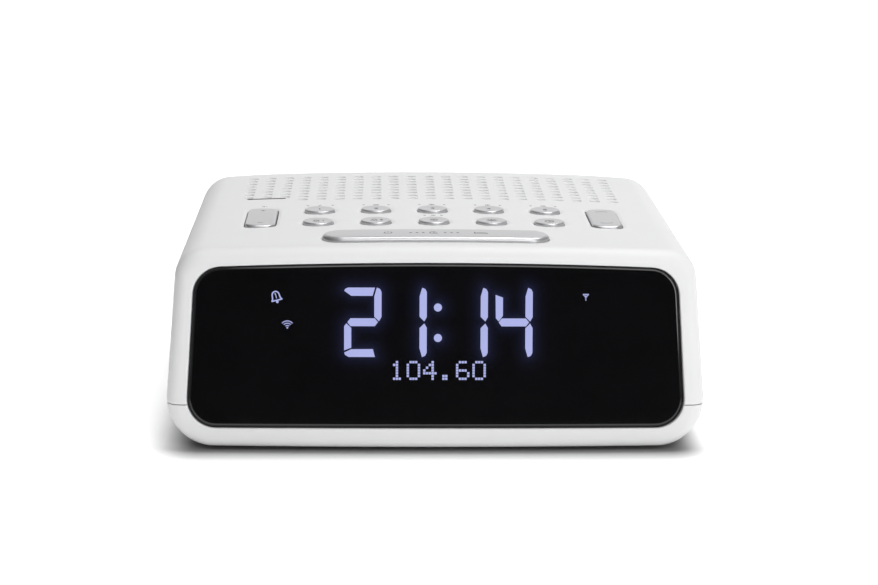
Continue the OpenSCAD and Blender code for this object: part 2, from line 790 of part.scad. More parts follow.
module front_left_foot() { foot(-foot_x, -foot_y); }
module front_right_foot() { foot(foot_x, -foot_y); }
module rear_left_foot() { foot(-foot_x, foot_y); }
module rear_right_foot() { foot(foot_x, foot_y); }

module case_screws() color([0.75, 0.76, 0.78])
    at(case_spots) difference() {
        union() {
            translate([0, 0, 12 - head_h]) cylinder(h = head_h, r = head_r);
            translate([0, 0, 11.5]) cylinder(h = 26, r = screw_r);
        }
        for (a = [0, 90]) rotate([0, 0, a]) block(0, 0, 12 - head_h - 0.5, 3, 0.7, 1.6);
    }

module rating_label() color([0.82, 0.82, 0.82])
    block(0, 0, foot_gap + label_sink - 0.15, label_w, label_d, 0.13);

top_housing();
bottom_housing();
display_window();
display_carrier();
lcd_panel();
backlight_guide();
display_board();
key_board();
main_board();
preset_key_1();
preset_key_2();
preset_key_3();
preset_key_4();
preset_key_5();
alarm_key_1();
alarm_key_2();
select_key();
brightness_key();
clock_key();
snooze_bar();
volume_rocker();
tuning_rocker();
volume_rocker_pin();
tuning_rocker_pin();
tact_switches();
speaker_basket();
speaker_magnet();
speaker_cone();
speaker_surround();
speaker_dust_cap();
speaker_gasket();
grille_scrim();
speaker_screws();
power_inlet();
headphone_socket();
aerial_gland();
tuner_shield();
processor_chips();
filter_capacitors();
board_connectors();
display_ribbon();
key_ribbon();
speaker_leads();
front_left_foot();
front_right_foot();
rear_left_foot();
rear_right_foot();
case_screws();
key_board_screws();
main_board_screws();
display_screws();
rating_label();
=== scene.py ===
"""Looks of the bedside clock radio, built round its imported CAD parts."""

import json
import math

import bmesh
import bpy
from mathutils import Euler, Matrix, Vector
from mathutils.geometry import delaunay_2d_cdt


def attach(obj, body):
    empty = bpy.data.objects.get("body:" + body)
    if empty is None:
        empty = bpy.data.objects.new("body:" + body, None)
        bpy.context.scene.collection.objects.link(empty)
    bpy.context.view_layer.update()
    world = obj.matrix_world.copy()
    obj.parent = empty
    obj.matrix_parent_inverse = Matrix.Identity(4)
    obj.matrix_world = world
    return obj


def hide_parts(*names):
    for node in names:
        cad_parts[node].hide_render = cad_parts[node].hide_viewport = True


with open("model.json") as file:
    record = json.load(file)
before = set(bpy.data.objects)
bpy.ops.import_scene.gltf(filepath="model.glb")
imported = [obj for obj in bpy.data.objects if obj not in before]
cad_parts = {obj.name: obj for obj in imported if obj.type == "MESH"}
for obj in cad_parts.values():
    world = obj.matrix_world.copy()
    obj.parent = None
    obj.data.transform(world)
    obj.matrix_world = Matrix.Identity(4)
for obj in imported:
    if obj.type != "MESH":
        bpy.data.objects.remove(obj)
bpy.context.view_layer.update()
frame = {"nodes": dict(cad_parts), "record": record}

MM = 0.001

# ---------- sizes in millimetres, repeated from the CAD source unless noted ----------

HALF_W, HALF_D, TOP, BOTTOM = 80.2, 68.4, 61.6, 1.5
WALL, SEAM = 2.4, 14.0
FALL, FALL_REAR, FALL_RUN, FALL_LOW = 0.8, 60.4, 123.8, 16.0  # drop of the top towards the front
CORNER_TOP, CORNER_LOW = 9, 14  # corners of the front outline
REAR_SIDE_R, REAR_TOP_R, REAR_LOW_R = 18, 8, 5  # fillets of the rear edge
LEAN, DRAFT = math.radians(9.4), math.radians(3.9)
SIN_L, COS_L, TAN_L = math.sin(LEAN), math.cos(LEAN), math.tan(LEAN)
CROWN, BOW = 1600.0, 1460.0
FACE_Y = -69.186
WINDOW_LOW_X, WINDOW_LOW_V, WINDOW_HIGH_X, WINDOW_TOP, WINDOW_R = 65.4, 16.3, 63.6, 56.8, 8.5
KEY_X = [-36, -18, 0, 18, 36]
ROW_REAR, ROW_FRONT = -4.3, -22.3
KEY_R, KEY_PROUD = 4.7, 0.6
SNOOZE_Y, SNOOZE_L, SNOOZE_W, SNOOZE_PROUD = -44.8, 68.4, 12.8, 1.3
ROCKER_X, ROCKER_Y, ROCKER_L, ROCKER_W = 54.0, -13.3, 27.6, 9.4
ROCKER_PROUD, PIN_Z, ROCKER_STEM_Y = 0.55, 55.6, 10.5
ROCKER_CORNER, ROCKER_POWER = 4.8, 0.7  # rounding of the ends, chosen here
ROCKER_BOW = 0.18  # how far the ends of the top curve down, chosen here
GRILLE_Y, GRILLE_PITCH, GRILLE_ROW = 14.5, 6.0, 4.74
GRILLE_SIDE, GRILLE_ROWS = 10, 9  # columns each side of the middle, and rows
SOUND_R = 22.5  # how far from the speaker's middle the dimples are pierced
SPEAKER_Y = GRILLE_Y + 4 * GRILLE_ROW
SLOT_X, SLOT_Y, SLOT_L, SLOT_W = -54.0, 17.44, 13.0, 1.8
INLET_X, PHONES_X, SOCKET_Z = -38.0, -16.0, 20.6
GLAND_X, GLAND_Z = 44.0, 32.0
SWITCH_TOP = 51.9
CASE_SCREW, FOOT = (64, 36), (56, 50)
KEY_BOARD_POSTS = [(-27, -33.4), (27, -33.4), (-27, 4.6), (27, 4.6)]
MAIN_BOARD_POSTS = [(-50, -24), (50, -24), (-50, 38), (50, 38)]


def top_z(x, y):
    """Height of the case's top over a point of the table."""
    return TOP - x * x / (2 * CROWN) - FALL * (FALL_REAR - y) / FALL_RUN


def face_y(x, z):
    """How far back the leaning, bowed front face is at a point."""
    return FACE_Y + z * TAN_L + x * x / (2 * BOW * COS_L)


def on_face(x, v, d):
    """Point d behind the front face, x across it and v up it."""
    back = d + x * x / (2 * BOW)
    return (x, FACE_Y + v * SIN_L + back * COS_L, v * COS_L - back * SIN_L)


SNOOZE_TOP = top_z(0, SNOOZE_Y) + SNOOZE_PROUD - 0.025  # a little low, as room for the printed marks


# ---------- mesh tools ----------


def mesh(name, points, faces):
    """A mesh object from points in millimetres."""
    data = bpy.data.meshes.new(name)
    data.from_pydata([(p[0] * MM, p[1] * MM, p[2] * MM) for p in points], [], faces)
    data.validate()
    obj = bpy.data.objects.new(name, data)
    bpy.context.scene.collection.objects.link(obj)
    return obj


def outward(obj):
    """Turns every shell of the mesh so that its faces look outwards."""
    bm = bmesh.new()
    bm.from_mesh(obj.data)
    bmesh.ops.recalc_face_normals(bm, faces=bm.faces)
    bm.to_mesh(obj.data)
    bm.free()
    return obj


def loft(name, rings, strip=None):
    """Closed skin over rings of equal length; strip is where the strips over the last ring start."""
    n = len(rings[0])
    points = [p for ring in rings for p in ring]
    faces = []
    for k in range(len(rings) - 1):
        for i in range(n):
            j = (i + 1) % n
            faces.append((k * n + i, k * n + j, (k + 1) * n + j, (k + 1) * n + i))
    faces.append(tuple(range(n))[::-1])
    last = (len(rings) - 1) * n
    if strip is None:
        faces.append(tuple(range(last, last + n)))
    else:
        for k in range(n // 2):
            quad = [last + (strip + i) % n for i in (k, k + 1, -k - 1, -k)]
            faces.append(tuple(v for i, v in enumerate(quad) if v not in quad[:i]))
    return outward(mesh(name, points, faces))


def revolve(name, profile, x, y, z=0.0, steps=64, axis="z", stretch=(1, 1)):
    """Closed solid from (radius, height) pairs; radius 0 only at the two ends."""
    place = {
        "x": lambda u, w, h: (x + h, y + u, z + w),
        "y": lambda u, w, h: (x + u, y + h, z + w),
        "z": lambda u, w, h: (x + u, y + w, z + h),
    }[axis]
    points, faces, rows = [], [], []
    for r, h in profile:
        row = []
        for i in range(steps if r > 0 else 1):
            a = 2 * math.pi * i / steps
            row.append(len(points))
            points.append(place(r * math.cos(a) * stretch[0], r * math.sin(a) * stretch[1], h))
        rows.append(row)
    for a, b in zip(rows, rows[1:]):
        for i in range(steps):
            j = (i + 1) % steps
            quad = [a[i % len(a)], a[j % len(a)], b[j % len(b)], b[i % len(b)]]
            quad = [v for k, v in enumerate(quad) if v not in quad[:k]]
            faces.append(tuple(quad))
    return outward(mesh(name, points, faces))


def rod(name, r, low, high, x, y, steps):
    """Upright closed cylinder."""
    return revolve(name, [(0, low), (r, low), (r, high), (0, high)], x, y, steps=steps)


def join(name, objs):
    """One object from several, each keeping its own closed shell."""
    points, faces = [], []
    for o in objs:
        base = len(points)
        points += [v.co / MM for v in o.data.vertices]
        faces += [tuple(base + i for i in f.vertices) for f in o.data.polygons]
        bpy.data.objects.remove(o)
    return mesh(name, points, faces)


def boolean(obj, tool, kind="DIFFERENCE"):
    """Applies one exact boolean to the object and removes the tool."""
    step = obj.modifiers.new("step", "BOOLEAN")
    step.object, step.operation, step.solver = tool, kind, "EXACT"
    dg = bpy.context.evaluated_depsgraph_get()
    data = bpy.data.meshes.new_from_object(obj.evaluated_get(dg))
    obj.modifiers.clear()
    old = obj.data
    obj.data = data
    bpy.data.meshes.remove(old)
    bpy.data.objects.remove(tool)
    return obj


def smooth(obj, angle):
    """Smooth shading, with edges sharper than the angle in degrees left crisp."""
    obj.data.shade_smooth()
    obj.data.set_sharp_from_angle(angle=math.radians(angle))
    return obj


# ---------- outlines ----------


def outline(xl, zl, rb, xh, rt, top, crown, counts=(10, 26, 4, 20, 16)):
    """Symmetric outline with round corners and a crowned top, as (x, z) pairs."""
    nb, na, ns, nt, nc = counts
    zh = top - crown + math.sqrt((crown - rt) ** 2 - xh * xh)
    span = math.hypot(xh - xl, zh - zl)
    side = math.asin((rb - rt) / span) - math.atan2(xh - xl, zh - zl)
    crown_a = math.asin(xh / (crown - rt))
    right = [(xl * i / nb, zl - rb) for i in range(nb)]
    for i in range(na):
        a = -math.pi / 2 + (side + math.pi / 2) * i / na
        right.append((xl + rb * math.cos(a), zl + rb * math.sin(a)))
    p = (xl + rb * math.cos(side), zl + rb * math.sin(side))
    q = (xh + rt * math.cos(side), zh + rt * math.sin(side))
    right += [(p[0] + (q[0] - p[0]) * i / ns, p[1] + (q[1] - p[1]) * i / ns) for i in range(ns)]
    for i in range(nt):
        a = side + (math.pi / 2 - crown_a - side) * i / nt
        right.append((xh + rt * math.cos(a), zh + rt * math.sin(a)))
    for i in range(nc + 1):
        a = crown_a * (1 - i / nc)
        right.append((crown * math.sin(a), top - crown + crown * math.cos(a)))
    return right + [(-x, z) for x, z in right[-2:0:-1]]


def body_ring(dx, dt, db, rt, rb):
    """Cross-section of the case moved in by dx at the sides, dt at the top and db below."""
    xl, zl = HALF_W - dx - rb, BOTTOM + db + rb
    crown, top = CROWN - dt, TOP - dt
    zh = top - rt - 1.5
    xh = xl + (rb - rt) / math.cos(DRAFT) - (zh - zl) * math.tan(DRAFT)
    return outline(xl, zl, rb, xh, rt, top, crown)


def window_flat(grow):
    """Window outline across and up the front face, grown by an amount."""
    r, top, crown = WINDOW_R + grow, WINDOW_TOP + grow, CROWN + grow
    return outline(WINDOW_LOW_X, WINDOW_LOW_V, r, WINDOW_HIGH_X, r, top, crown, (16, 12, 8, 12, 16))


def window_ring(d, grow):
    """Window outline on the front face, d behind it."""
    return [on_face(x, v, d) for x, v in window_flat(grow)]


def capsule(length, width, grow=0.0, steps=20):
    """Long slot outline with round ends, counter-clockwise."""
    r, half = width / 2 + grow, (length - width) / 2
    pts = []
    for s in (1, -1):
        for i in range(steps + 1):
            a = -math.pi / 2 + math.pi * i / steps
            pts.append((s * (half + r * math.cos(a)), s * r * math.sin(a)))
        pts += [(s * half * (1 - 2 * i / 12), s * r) for i in range(1, 12)]
    return pts


def rocker_ring(grow=0.0, steps=20):
    """Rocker outline: straight sides, bowed ends and soft corners."""
    w, h = ROCKER_W / 2 + grow, ROCKER_CORNER + grow
    low = ROCKER_L / 2 - ROCKER_CORNER
    end = []
    for i in range(steps + 1):
        a = math.pi * i / steps
        c, t = math.cos(a), math.sin(a)
        end.append((math.copysign(w * abs(c) ** ROCKER_POWER, c), low + h * t ** ROCKER_POWER))
    half = end + [(-w, low * (1 - 2 * i / 8)) for i in range(1, 8)]
    return half + [(-x, -y) for x, y in half]


# ---------- case ----------


def case_body(name, o):
    """Solid inside the case's outline moved in by o; only the outer one, at 0, has the front face."""
    outer = o == 0
    depth_front = 0 if outer else 6.0
    rings = []

    def sloped(x, y, z):
        """Point lowered with the fall of the top, less and less towards the base."""
        share = min(1.0, max(0.0, (z - FALL_LOW) / (TOP - FALL_LOW)))
        return (x, y, z - FALL * (FALL_REAR - y) / FALL_RUN * share)

    def place(flat, y_of):
        """Outline at the depths that y_of gives, cut flat where it would pass the CAD's box."""
        return [sloped(x, max(y_of(x, z), -HALF_D), z) for x, z in flat]

    def front_r(z):
        """Radius of the edge round the front face."""
        return (3 + 2 * (z - BOTTOM) / 60) if outer else 1.0

    def inset(s):
        """Outline drawn in by a share s of the front edge's width."""
        return body_ring(o + 4 * s, o + 5 * s, o + 3 * s, CORNER_TOP - o - 4.3 * s, CORNER_LOW - o - 3.4 * s)

    if outer:
        for extra in (14, 9, 5, 2.5, 1):
            flat = body_ring(4 + extra, 5 + extra, 3 + extra, max(1.2, 4.7 - extra), max(1.2, 10.6 - extra))
            rings.append(place(flat, face_y))
    steps = 12
    for i in range(steps + 1):
        phi = math.pi / 2 * (1 - i / steps)
        s = 1 - math.cos(phi)
        flat = inset(s if outer else 0.25 * s)
        rings.append(place(flat, lambda x, z: face_y(x, z) + depth_front + front_r(z) * (1 - math.sin(phi))))

    def rear_r(x, z):
        """Rear fillet radius: side, top or bottom value, blended round the corners."""
        across, up = abs(x) / 74.0, (z - 30.0) / 28.0
        w = min(1.0, max(0.0, (abs(math.atan2(up, across)) - 0.52) / 0.5))
        w = w * w * (3 - 2 * w)
        return REAR_SIDE_R + ((REAR_TOP_R if up > 0 else REAR_LOW_R) - REAR_SIDE_R) * w

    def cut_in(r):
        """How much shorter a wide fillet is on a moved-in outline."""
        return o if r > 10 else 0

    base = body_ring(o, o, o, CORNER_TOP - o, CORNER_LOW - o)
    radii = [rear_r(x, z) for x, z in base]
    start = rings[-1]
    for k in range(1, 24):
        t = k / 24
        ring = []
        for i, (x, z) in enumerate(base):
            y0 = start[i][1]
            y1 = HALF_D - o - radii[i] + cut_in(radii[i])
            ring.append(sloped(x, y0 + (y1 - y0) * t, z))
        rings.append(ring)
    steps = 16
    for i in range(steps + 1):
        phi = math.pi / 2 * i / steps
        s = 1 - math.cos(phi)
        side, high, low = (o + (r - o) * s for r in (REAR_SIDE_R, REAR_TOP_R, REAR_LOW_R))
        flat = body_ring(side, high, low, CORNER_TOP - o - 3 * s, CORNER_LOW - o - 4 * s)
        depth = [(r - cut_in(r)) * (1 - math.sin(phi)) for r in radii]
        rings.append([sloped(x, HALF_D - o - d, z) for (x, z), d in zip(flat, depth)])
    return loft(name, rings)


def top_loft(name, rings, x, y):
    """Closed solid from (outline, height over the case's top) pairs at a place on the top."""
    return loft(name, [[(x + px, y + py, top_z(x + px, y + py) + h) for px, py in flat] for flat, h in rings])


def circle(r, steps=48, cx=0.0, cy=0.0):
    """Circular outline."""
    angles = [2 * math.pi * i / steps for i in range(steps)]
    return [(cx + r * math.cos(a), cy + r * math.sin(a)) for a in angles]


def well(flat, drop):
    """Rings of an opening with a soft dish round it; flat(g) gives its outline grown by g."""
    dish = [(0.25, -drop * 0.86), (0.6, -drop * 0.45), (1.0, -drop * 0.14), (1.5, 0.012), (1.9, 0.6)]
    return [(flat(0), -12.0), (flat(0), -drop)] + [(flat(g), h) for g, h in dish]


def slot_loft(name, steps):
    """Closed solid in the slot beside the grille, from (growth, height) pairs."""
    return top_loft(name, [(capsule(SLOT_L, SLOT_W, g, 10), h) for g, h in steps], SLOT_X, SLOT_Y)


shell = case_body("case_shell", 0)
boolean(shell, case_body("hollow", WALL))

CORNERS = [(sx, sy) for sx in (-1, 1) for sy in (-1, 1)]
POST_LOW, KEY_POST_LOW, POST_INTO_TOP = 26.1, 47.6, 1.2
posts = []
for sy, sx in CORNERS:
    x, y = sx * CASE_SCREW[0], sy * CASE_SCREW[1]
    posts.append(rod("post", 3.6, POST_LOW, top_z(x, y) - POST_INTO_TOP, x, y, 32))
for x, y in KEY_BOARD_POSTS:
    posts.append(rod("post", 2.6, KEY_POST_LOW, top_z(x, y) - POST_INTO_TOP, x, y, 24))
boolean(shell, join("posts", posts), "UNION")

cuts = [(-3, 0.62), (-0.02, 0.62), (0.1, 0.36), (0.3, 0.2), (0.55, 0.15)]
cuts += [(3.15, 0.15), (3.15, -2.2), (14, -2.2)]
boolean(shell, loft("window_cut", [window_ring(d, g) for d, g in cuts]))

tools = []
for x in KEY_X:
    for y in (ROW_REAR, ROW_FRONT):
        tools.append(top_loft("well", well(lambda g: circle(KEY_R + 0.25 + g), 0.42), x, y))
tools.append(top_loft("well", well(lambda g: capsule(SNOOZE_L, SNOOZE_W, 0.25 + g), 0.34), 0, SNOOZE_Y))
for s in (-1, 1):
    tools.append(top_loft("well", well(lambda g: rocker_ring(0.4 + 0.8 * g), 0.34), s * ROCKER_X, ROCKER_Y))
tools.append(slot_loft("well", [(-0.3, -1.2), (0, -0.8), (0, -0.2), (0.25, 0.02), (0.25, 0.6)]))
boolean(shell, join("top_cuts", tools))

DIMPLE = [(0, 0.3), (1.56, 0.3), (1.46, 0.0), (1.36, -0.35), (1.1, -0.7), (0.6, -0.9), (0, -0.95)]
tools, holes = [], []
for i in range(-GRILLE_SIDE, GRILLE_SIDE + 1):
    for j in range(GRILLE_ROWS):
        x, y = i * GRILLE_PITCH, GRILLE_Y + j * GRILLE_ROW
        z = top_z(x, y)
        if not (j == 0 and abs(x - SLOT_X) < 6.5):
            tools.append(revolve("dimple", DIMPLE, x, y, z, 18, stretch=(1.22, 0.84)))
        if math.hypot(x, y - SPEAKER_Y) < SOUND_R:
            holes.append(revolve("hole", [(0, 1), (0.7, 1), (0.7, -6), (0, -6)], x, y, z, 12))
boolean(shell, join("dimples", tools))
boolean(shell, join("holes", holes))

tools = []
for x, z, r in ((INLET_X, SOCKET_Z, 4.2), (PHONES_X, SOCKET_Z, 3.6), (GLAND_X, GLAND_Z, 2.5)):
    profile = [(0, -8), (r, -8), (r, -0.4), (r + 0.12, -0.12), (r + 0.4, 0.0), (r + 0.8, 0.4), (0, 0.4)]
    tools.append(revolve("rear_hole", profile, x, HALF_D, z, 40, "y"))
boolean(shell, join("rear_cuts", tools))


def slab(name, z0, z1):
    """Plain block used to part the case at its joint."""
    ring = [(-100, -100), (100, -100), (100, 100), (-100, 100)]
    return loft(name, [[(x, y, z) for x, y in ring] for z in (z0, z1)])


lower = bpy.data.objects.new("case_lower", shell.data.copy())
bpy.context.scene.collection.objects.link(lower)
upper = boolean(shell, slab("below", -20, SEAM + 0.15))
upper.name = upper.data.name = "case_upper"
boolean(lower, slab("above", SEAM - 0.15, 100))

feet_at = [(sx * FOOT[0], sy * FOOT[1]) for sx, sy in CORNERS]
screws_at = [(sx * CASE_SCREW[0], sy * CASE_SCREW[1]) for sx, sy in CORNERS]
SCREW_SEAT = [(0, -5), (3.4, -5), (3.1, 2.2), (3.1, 12), (0, 12)]
LABEL_X, LABEL_Y = 25.2, 15.2
label = [(-LABEL_X, -LABEL_Y), (LABEL_X, -LABEL_Y), (LABEL_X, LABEL_Y), (-LABEL_X, LABEL_Y)]
lower_cuts = [rod("foot_seat", 6, -5, 2.5, x, y, 40) for x, y in feet_at]
lower_cuts += [revolve("screw_seat", SCREW_SEAT, x, y, 0, 32) for x, y in screws_at]
lower_cuts.append(loft("label_seat", [[(x, y, z) for x, y in label] for z in (-2, 1.8)]))
lower_posts = [rod("boss", 4.2, 2.5, 26, x, y, 32) for x, y in screws_at]
lower_posts += [rod("boss", 3.2, 2.5, 13.95, x, y, 24) for x, y in MAIN_BOARD_POSTS]
boolean(lower, join("bosses", lower_posts), "UNION")
boolean(lower, join("lower_cuts", lower_cuts))

for o in (upper, lower):
    o.data.name = o.name
    smooth(o, 15)


# ---------- window ----------


def window():
    """Smoked window: bevelled edge, bowed front and back."""
    edge = [(3.0, -0.25), (2.75, 0.0), (1.75, 0.0), (1.32, -0.14), (1.1, -0.42), (1.0, -0.95), (0.998, -1.15)]
    points, faces, rows = [], [], []
    for d, g in edge:
        ring = window_ring(d, g)
        rows.append(range(len(points), len(points) + len(ring)))
        points += ring
    n = len(rows[0])
    for a, b in zip(rows, rows[1:]):
        for i in range(n):
            j = (i + 1) % n
            faces.append((a[i], a[j], b[j], b[i]))
    for row, (d, g) in ((rows[0], edge[0]), (rows[-1], edge[-1])):
        grid = [(x, v) for x in range(-68, 69, 4) for v in range(12, 54, 4)]
        if d < 2:  # the front carries the glow round the digits, so its mesh is finer there
            grid = [(x, v) for x, v in grid if not (-34 < x < 35 and 24 < v < 54)]
            grid += [(x * 0.9 + 0.03, v * 0.9 + 24.4) for x in range(-37, 39) for v in range(33)]
        pts = [Vector(p) for p in window_flat(g) + grid]
        out, _, tris, origin, _, _ = delaunay_2d_cdt(pts, [], [list(range(n))], 1, 1e-5)
        index = {}
        for k, p in enumerate(out):
            src = [i for i in origin[k] if i < n]
            if src:
                index[k] = row[src[0]]
            else:
                index[k] = len(points)
                points.append(on_face(p[0], p[1], d))
        faces += [tuple(index[k] for k in t) for t in tris]
    return smooth(outward(mesh("window_pane", points, faces)), 35)


pane = window()


def edge_distance(p, q, r):
    """Distance from point p to the stretch of line between q and r."""
    along = r - q
    t = max(0.0, min(1.0, (p - q).dot(along) / along.length_squared))
    return (p - q - t * along).length


# ---------- keys ----------


STEM_LOW, STEM_R = SWITCH_TOP + 0.6, 1.6
FLANGE_R, FLANGE_T, SKIRT_GAP = 5.6, 1.2, 0.35  # flange under the wall, and the gap between them
KEY_DISH = 0.105  # depth of the dish in a round key's top


def arc(r0, h0, r, steps=6):
    """Quarter round from (r0, h0 - r) to (r0 - r, h0), as (radius, height)."""
    angles = [math.pi / 2 * i / steps for i in range(steps + 1)]
    return [(r0 - r + r * math.cos(a), h0 - r + r * math.sin(a)) for a in angles]


def round_key(name, x, y):
    """Round cap with a dished top, a flange under the case and a stem down to its switch."""
    top = top_z(x, y) + KEY_PROUD
    skirt = top_z(abs(x) + FLANGE_R, y - FLANGE_R) - WALL - SKIRT_GAP
    profile = [(0, STEM_LOW), (1.45, STEM_LOW), (STEM_R, STEM_LOW + 0.15), (STEM_R, skirt - FLANGE_T)]
    profile += [(FLANGE_R, skirt - FLANGE_T), (FLANGE_R, skirt), (KEY_R, skirt), (KEY_R, top - 0.9)]
    profile += arc(KEY_R, top, 0.42)
    dish = [(3.9, 0.004), (3.2, 0.03), (2.2, 0.07), (1.1, 0.095), (0, KEY_DISH)]
    profile += [(r, top - drop) for r, drop in dish]
    return smooth(revolve(name, profile, x, y, 0, 72), 32)


REAR_KEYS = ["preset_key_%d" % k for k in range(1, 6)]
FRONT_KEYS = ["alarm_key_1", "alarm_key_2", "select_key", "brightness_key", "clock_key"]
KEY_PLACES = {node: (x, ROW_REAR) for node, x in zip(REAR_KEYS, KEY_X)}
KEY_PLACES.update({node: (x, ROW_FRONT) for node, x in zip(FRONT_KEYS, KEY_X)})
keys = {node: round_key(node.replace("_key", "_cap"), x, y) for node, (x, y) in KEY_PLACES.items()}


def snooze():
    """Long bar with a crowned top, a flange and two stems."""
    top = SNOOZE_TOP
    skirt = top_z(SNOOZE_L / 2, SNOOZE_Y - 8) - WALL - SKIRT_GAP

    def ring(grow, z, crowned):
        bend_down = 1 / (2 * CROWN) if crowned else 0
        return [(x, SNOOZE_Y + y, z - x * x * bend_down) for x, y in capsule(SNOOZE_L, SNOOZE_W, grow)]

    rings = [ring(0.9, skirt - FLANGE_T, False), ring(0.9, skirt, False), ring(0, skirt, False)]
    rings.append(ring(0, top - 2.0, True))
    r = 1.25
    for i in range(9):
        a = math.pi / 2 * i / 8
        rings.append(ring(-r * (1 - math.cos(a)), top - 0.05 - r + r * math.sin(a), True))
    rings += [ring(-2.0, top - 0.03, True), ring(-3.2, top, True)]
    cap = loft("cap", rings, strip=10)
    stems = [rod("stem", STEM_R, STEM_LOW, skirt - 1.0, s * 18, SNOOZE_Y + 0.6, 24) for s in (-1, 1)]
    return smooth(join("snooze_cap", [cap] + stems), 30)


def slot_shade_insert():
    """Matte black insert in the slot beside the grille, a dark piece put in as painted shade for the slot's
    shadowed far wall.
    """
    steps = [(-0.32, -1.15), (-0.04, -0.75), (-0.04, -0.22), (-0.12, -0.12), (-0.4, -0.1)]
    return smooth(slot_loft("slot_shade_insert", steps), 35)


def rocker(name, s):
    """Rocker cap with its hub, web and two stems; s is the side of the case it is on."""
    top = top_z(ROCKER_X, ROCKER_Y) + ROCKER_PROUD
    x0 = s * ROCKER_X

    def ring(grow, z, sag=0.0):
        return [(x0 + x, ROCKER_Y + y, z - sag * (2 * y / ROCKER_L) ** 2) for x, y in rocker_ring(grow)]

    r = 0.7
    rings = [ring(0, top - 3), ring(0, top - 1.2)]
    for i in range(7):
        a = math.pi / 2 * i / 6
        rings.append(ring(-r * (1 - math.cos(a)), top - r + r * math.sin(a), ROCKER_BOW))
    rings += [ring(-1.3, top - 0.01, ROCKER_BOW), ring(-2.2, top - 0.01, ROCKER_BOW)]
    parts = [loft("cap", rings, strip=10)]
    for e in (-1, 1):
        parts.append(rod("stem", STEM_R, STEM_LOW + 0.15, top - 2.8, x0, ROCKER_Y + e * ROCKER_STEM_Y, 24))
    tube = [(0.85, -3), (2.2, -3), (2.2, 3), (0.85, 3), (0.85, -3)]
    hub = revolve("hub", tube, x0, ROCKER_Y, PIN_Z, 32, "x")
    flat = [(-3, -2.1), (3, -2.1), (3, 2.1), (-3, 2.1)]
    web = loft("web", [[(x0 + x, ROCKER_Y + y, z) for x, y in flat] for z in (PIN_Z + 1.4, top - 2.8)])
    return smooth(join(name, parts + [hub, web]), 30)


snooze_cap = snooze()
slot_shade_piece = slot_shade_insert()
rockers = {"volume_rocker": rocker("volume_cap", -1), "tuning_rocker": rocker("tuning_cap", 1)}


# ---------- printed marks and lit display ----------


def stroke(a, b, w):
    """Straight stroke of width w from a to b."""
    (x0, y0), (x1, y1) = a, b
    l = math.hypot(x1 - x0, y1 - y0)
    nx, ny = -(y1 - y0) / l * w / 2, (x1 - x0) / l * w / 2
    return [(x0 - nx, y0 - ny), (x1 - nx, y1 - ny), (x1 + nx, y1 + ny), (x0 + nx, y0 + ny)]


def bend(cx, cy, r, w, a0=0.0, a1=360.0):
    """Strokes of width w along an arc, between angles in degrees."""
    n = max(3, int(20 * abs(a1 - a0) / 360))
    turns = [math.radians(a0 + (a1 - a0) * i / n) for i in range(n + 1)]
    inner = [(cx + (r - w / 2) * math.cos(a), cy + (r - w / 2) * math.sin(a)) for a in turns]
    rim = [(cx + (r + w / 2) * math.cos(a), cy + (r + w / 2) * math.sin(a)) for a in turns]
    return [[inner[i], rim[i], rim[i + 1], inner[i + 1]] for i in range(n)]


def path(points, w):
    """Strokes of width w along a line of points."""
    return [stroke(a, b, w) for a, b in zip(points, points[1:])]


def disc(cx, cy, r, steps=16):
    """Filled round dot."""
    return [circle(r, steps, cx, cy)]


def moved(polys, dx, dy, k=1.0, turn=0.0):
    """Polygons turned by degrees, scaled by k and moved."""
    c, s = math.cos(math.radians(turn)), math.sin(math.radians(turn))
    return [[(dx + k * (x * c - y * s), dy + k * (x * s + y * c)) for x, y in p] for p in polys]


DIGITS = {
    "1": path([(-0.25, 0.55), (0.05, 0.8), (0.05, -0.8)], 0.26),
    "2": bend(0, 0.35, 0.42, 0.26, 170, -35) + path([(0.36, 0.14), (-0.44, -0.68), (0.5, -0.68)], 0.26),
    "3": bend(0, 0.38, 0.38, 0.26, 150, -90) + bend(0, -0.34, 0.42, 0.26, 90, -150),
    "4": path([(0.25, -0.8), (0.25, 0.75), (-0.5, -0.3), (0.55, -0.3)], 0.26),
    "5": path([(0.42, 0.72), (-0.36, 0.72), (-0.4, 0.1)], 0.26) + bend(-0.02, -0.25, 0.48, 0.26, 130, -145),
}
BELL_SIDE = [(-0.55, 0.1), (-0.62, -0.5), (-0.85, -0.75), (0.85, -0.75), (0.62, -0.5), (0.55, 0.1)]
BELL = bend(0, 0.1, 0.55, 0.2, 0, 180) + path(BELL_SIDE, 0.2) + disc(0, -1.02, 0.2)
POWER = bend(0, 0, 0.8, 0.2, 120, 420) + path([(0, 0.25), (0, 1.1)], 0.2)
RAYS = [(math.cos(math.pi / 4 * i), math.sin(math.pi / 4 * i)) for i in range(8)]
SUN = bend(0, 0, 0.36, 0.18) + [stroke((0.62 * c, 0.62 * t), (0.95 * c, 0.95 * t), 0.18) for c, t in RAYS]
CLOCK = bend(0, 0, 0.85, 0.18) + path([(0, 0.5), (0, 0), (0.4, -0.15)], 0.18)
RING = bend(0, 0, 0.75, 0.2) + disc(0, 0, 0.25)
MOON = bend(0, 0, 0.85, 0.2, 60, 330) + bend(0.5, 0.3, 0.62, 0.16, 105, 290)
BED = path([(-1.1, 0.7), (-1.1, -0.6)], 0.22) + path([(-1.1, -0.3), (1.1, -0.3), (1.1, -0.6)], 0.22)
BED += path([(-0.8, 0.05), (0.2, 0.15), (1.1, -0.15)], 0.22)
ARROW_L = [[(-0.6, 0), (0.3, -0.6), (0.3, 0.6)]]
ARROW_R = [[(0.6, 0), (-0.3, 0.6), (-0.3, -0.6)]]
NOTE = disc(-0.35, -0.6, 0.32) + path([(-0.08, -0.6), (-0.08, 0.8), (0.5, 0.5)], 0.2)
LIST = [stroke((-0.9, y), (0.9, y), 0.22) for y in (0.55, 0, -0.55)]
